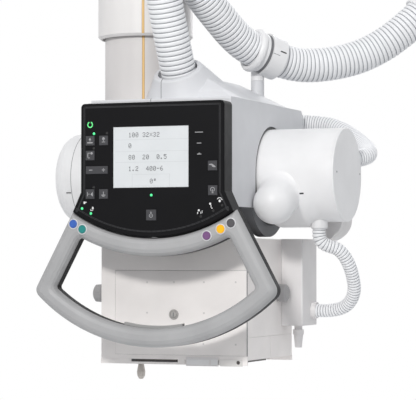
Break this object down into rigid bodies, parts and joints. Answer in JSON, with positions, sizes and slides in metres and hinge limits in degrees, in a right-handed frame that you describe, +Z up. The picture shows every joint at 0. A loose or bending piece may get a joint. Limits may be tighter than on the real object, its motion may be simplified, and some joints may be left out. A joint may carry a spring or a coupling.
{
  "type": "ceiling-suspended x-ray tube head",
  "caption": "Ceiling-hung radiography tube head: telescopic column, swivelling arm, console with a framed handle, tilting tube unit and swivelling collimator.",
  "frame": {"origin": "middle of the ceiling flange's top face, on the column's axis", "axes": "+X to the operator's right, +Y from the console away from the operator, +Z up"},
  "size_m": [0.738, 0.6105, 1.054],
  "materials": {
    "grey_cover": "satin",
    "column_white": "satin",
    "cast_grey": "matte",
    "bearing_steel": "ground",
    "guide_plastic": "matte",
    "white_plastic": "satin",
    "hose_grey": "matte",
    "black_plastic": "matte",
    "console_black": "satin",
    "handle_grey": "satin",
    "display_glass": "clear",
    "clear_glass": "clear",
    "clear_plastic": "clear",
    "mirror_film": "mirror",
    "rail_metal": "satin",
    "lead": "matte",
    "lever_dark": "satin",
    "key_grey": "satin",
    "blue": "satin",
    "teal": "satin",
    "purple": "satin",
    "yellow": "satin"
  },
  "bodies": {
    "ceiling_mast": {"ceiling_flange": "column_white", "outer_column": "column_white", "lower_guide_ring": "guide_plastic"},
    "inner_mast": {"inner_column": "column_white", "swivel_inner_race": "bearing_steel"},
    "arm": {"arm_beam": "cast_grey", "arm_cover_left": "grey_cover", "arm_cover_right": "grey_cover", "swivel_outer_race": "bearing_steel", "hose_clamp": "white_plastic", "service_hose_front": "hose_grey", "service_hose_middle": "hose_grey", "service_hose_side": "hose_grey", "hose_end_fittings": "white_plastic", "tube_supply_hose": "hose_grey", "console_shell": "black_plastic", "console_face": "console_black", "display_window": "display_glass", "handle_front_shell": "handle_grey", "handle_rear_shell": "black_plastic"},
    "tube_unit": {"tube_housing": "cast_grey", "tube_cover_right": "white_plastic", "tube_cover_left": "white_plastic", "tube_end_covers": "white_plastic", "tube_rear_cover": "hose_grey", "tube_envelope": "clear_glass"},
    "anode": {"anode_rotor": "bearing_steel"},
    "collimator": {"collimator_lid": "white_plastic", "collimator_housing": "white_plastic", "collimator_base": "white_plastic", "exit_window": "clear_plastic", "collimator_door": "white_plastic", "side_box": "hose_grey", "collimator_hose": "hose_grey", "light_field_unit": "mirror_film", "accessory_rail": "rail_metal"},
    "upper_left_key_body": {"upper_left_key": "key_grey"},
    "upper_right_key_body": {"upper_right_key": "key_grey"},
    "turn_key_body": {"turn_key": "key_grey"},
    "lower_left_key_body": {"lower_left_key": "key_grey"},
    "lower_right_key_body": {"lower_right_key": "key_grey"},
    "format_key_body": {"format_key": "key_grey"},
    "lamp_key_body": {"lamp_key": "key_grey"},
    "rocker_key_body": {"rocker_key": "key_grey"},
    "centre_key_body": {"centre_key": "key_grey"},
    "blue_button_body": {"blue_button": "blue"},
    "teal_button_body": {"teal_button": "teal"},
    "purple_button_body": {"purple_button": "purple"},
    "yellow_button_body": {"yellow_button": "yellow"},
    "grey_button_body": {"grey_button": "key_grey"},
    "release": {"release_bar": "black_plastic"},
    "left_knob_body": {"left_knob": "hose_grey"},
    "right_knob_body": {"right_knob": "hose_grey"},
    "leaf_left_body": {"leaf_left": "lead"},
    "leaf_right_body": {"leaf_right": "lead"},
    "leaf_front_body": {"leaf_front": "lead"},
    "leaf_rear_body": {"leaf_rear": "lead"},
    "lever_left_body": {"lever_left": "lever_dark"},
    "lever_right_body": {"lever_right": "lever_dark"},
    "drop_knob_body": {"drop_knob": "lever_dark"}
  },
  "joints": [
    {"name": "column_lift", "type": "slide", "parent": "ceiling_mast", "child": "inner_mast", "axis": [0, 0, 1], "range_m": [-0.21, 0.04]},
    {"name": "arm_swivel", "type": "hinge", "parent": "inner_mast", "child": "arm", "pos_m": [0, 0, -0.53], "axis": [0, 0, 1], "range_deg": [-90, 90]},
    {"name": "tube_tilt", "type": "hinge", "parent": "arm", "child": "tube_unit", "pos_m": [0.11, 0.048, -0.65], "axis": [1, 0, 0], "range_deg": [0, 60], "deforming": ["tube_supply_hose"]},
    {"name": "anode_spin", "type": "hinge", "parent": "tube_unit", "child": "anode", "pos_m": [0.17, 0.048, -0.65], "axis": [1, 0, 0], "continuous": true},
    {"name": "collimator_swivel", "type": "hinge", "parent": "tube_unit", "child": "collimator", "pos_m": [0.11, 0.048, -0.78], "axis": [0, 0, 1], "range_deg": [-45, 45], "deforming": ["collimator_hose"]},
    {"name": "upper_left_key_press", "type": "slide", "parent": "arm", "child": "upper_left_key_body", "axis": [0, 1, 0], "range_m": [0, 0.0015], "stiffness_N_per_m": 300},
    {"name": "upper_right_key_press", "type": "slide", "parent": "arm", "child": "upper_right_key_body", "axis": [0, 1, 0], "range_m": [0, 0.0015], "stiffness_N_per_m": 300},
    {"name": "turn_key_press", "type": "slide", "parent": "arm", "child": "turn_key_body", "axis": [0, 1, 0], "range_m": [0, 0.0015], "stiffness_N_per_m": 300},
    {"name": "lower_left_key_press", "type": "slide", "parent": "arm", "child": "lower_left_key_body", "axis": [0, 1, 0], "range_m": [0, 0.0015], "stiffness_N_per_m": 300},
    {"name": "lower_right_key_press", "type": "slide", "parent": "arm", "child": "lower_right_key_body", "axis": [0, 1, 0], "range_m": [0, 0.0015], "stiffness_N_per_m": 300},
    {"name": "format_key_press", "type": "slide", "parent": "arm", "child": "format_key_body", "axis": [0, 1, 0], "range_m": [0, 0.0015], "stiffness_N_per_m": 300},
    {"name": "lamp_key_press", "type": "slide", "parent": "arm", "child": "lamp_key_body", "axis": [0, 1, 0], "range_m": [0, 0.0015], "stiffness_N_per_m": 300},
    {"name": "rocker_key_press", "type": "slide", "parent": "arm", "child": "rocker_key_body", "axis": [0, 1, 0], "range_m": [0, 0.0015], "stiffness_N_per_m": 300},
    {"name": "centre_key_press", "type": "slide", "parent": "arm", "child": "centre_key_body", "axis": [0, 1, 0], "range_m": [0, 0.0015], "stiffness_N_per_m": 300},
    {"name": "blue_button_press", "type": "slide", "parent": "arm", "child": "blue_button_body", "axis": [0, 1, 0], "range_m": [0, 0.002], "stiffness_N_per_m": 400},
    {"name": "teal_button_press", "type": "slide", "parent": "arm", "child": "teal_button_body", "axis": [0, 1, 0], "range_m": [0, 0.002], "stiffness_N_per_m": 400},
    {"name": "purple_button_press", "type": "slide", "parent": "arm", "child": "purple_button_body", "axis": [0, 1, 0], "range_m": [0, 0.002], "stiffness_N_per_m": 400},
    {"name": "yellow_button_press", "type": "slide", "parent": "arm", "child": "yellow_button_body", "axis": [0, 1, 0], "range_m": [0, 0.002], "stiffness_N_per_m": 400},
    {"name": "grey_button_press", "type": "slide", "parent": "arm", "child": "grey_button_body", "axis": [0, 1, 0], "range_m": [0, 0.002], "stiffness_N_per_m": 400},
    {"name": "release_pull", "type": "slide", "parent": "arm", "child": "release", "axis": [0, 0, -1], "range_m": [0, 0.006], "stiffness_N_per_m": 600},
    {"name": "left_knob_turn", "type": "hinge", "parent": "collimator", "child": "left_knob_body", "pos_m": [-0.044, -0.1, -0.884], "axis": [1, 0, 0], "range_deg": [0, 150]},
    {"name": "right_knob_turn", "type": "hinge", "parent": "collimator", "child": "right_knob_body", "pos_m": [0.264, 0.057, -0.884], "axis": [1, 0, 0], "range_deg": [0, 150]},
    {"name": "leaf_left_slide", "type": "slide", "parent": "collimator", "child": "leaf_left_body", "axis": [1, 0, 0], "range_m": [0, 0.033]},
    {"name": "leaf_right_slide", "type": "slide", "parent": "collimator", "child": "leaf_right_body", "axis": [1, 0, 0], "range_m": [-0.033, 0]},
    {"name": "leaf_front_slide", "type": "slide", "parent": "collimator", "child": "leaf_front_body", "axis": [0, 1, 0], "range_m": [0, 0.033]},
    {"name": "leaf_rear_slide", "type": "slide", "parent": "collimator", "child": "leaf_rear_body", "axis": [0, 1, 0], "range_m": [-0.033, 0]},
    {"name": "lever_left_turn", "type": "hinge", "parent": "collimator", "child": "lever_left_body", "pos_m": [0.03, -0.102, -1.012], "axis": [0, 0, 1], "range_deg": [-35, 0]},
    {"name": "lever_right_turn", "type": "hinge", "parent": "collimator", "child": "lever_right_body", "pos_m": [0.25, -0.094, -1.012], "axis": [0, 0, 1], "range_deg": [-35, 0]},
    {"name": "drop_knob_turn", "type": "hinge", "parent": "collimator", "child": "drop_knob_body", "pos_m": [0.026, -0.082, -1.012], "axis": [0, 0, 1], "range_deg": [0, 90]}
  ],
  "couplings": [
    {"joint": "left_knob_turn", "follows": "leaf_left_slide", "rad_per_m": 79.333},
    {"joint": "leaf_right_slide", "follows": "leaf_left_slide", "ratio": -1},
    {"joint": "right_knob_turn", "follows": "leaf_front_slide", "rad_per_m": 79.333},
    {"joint": "leaf_rear_slide", "follows": "leaf_front_slide", "ratio": -1}
  ]
}
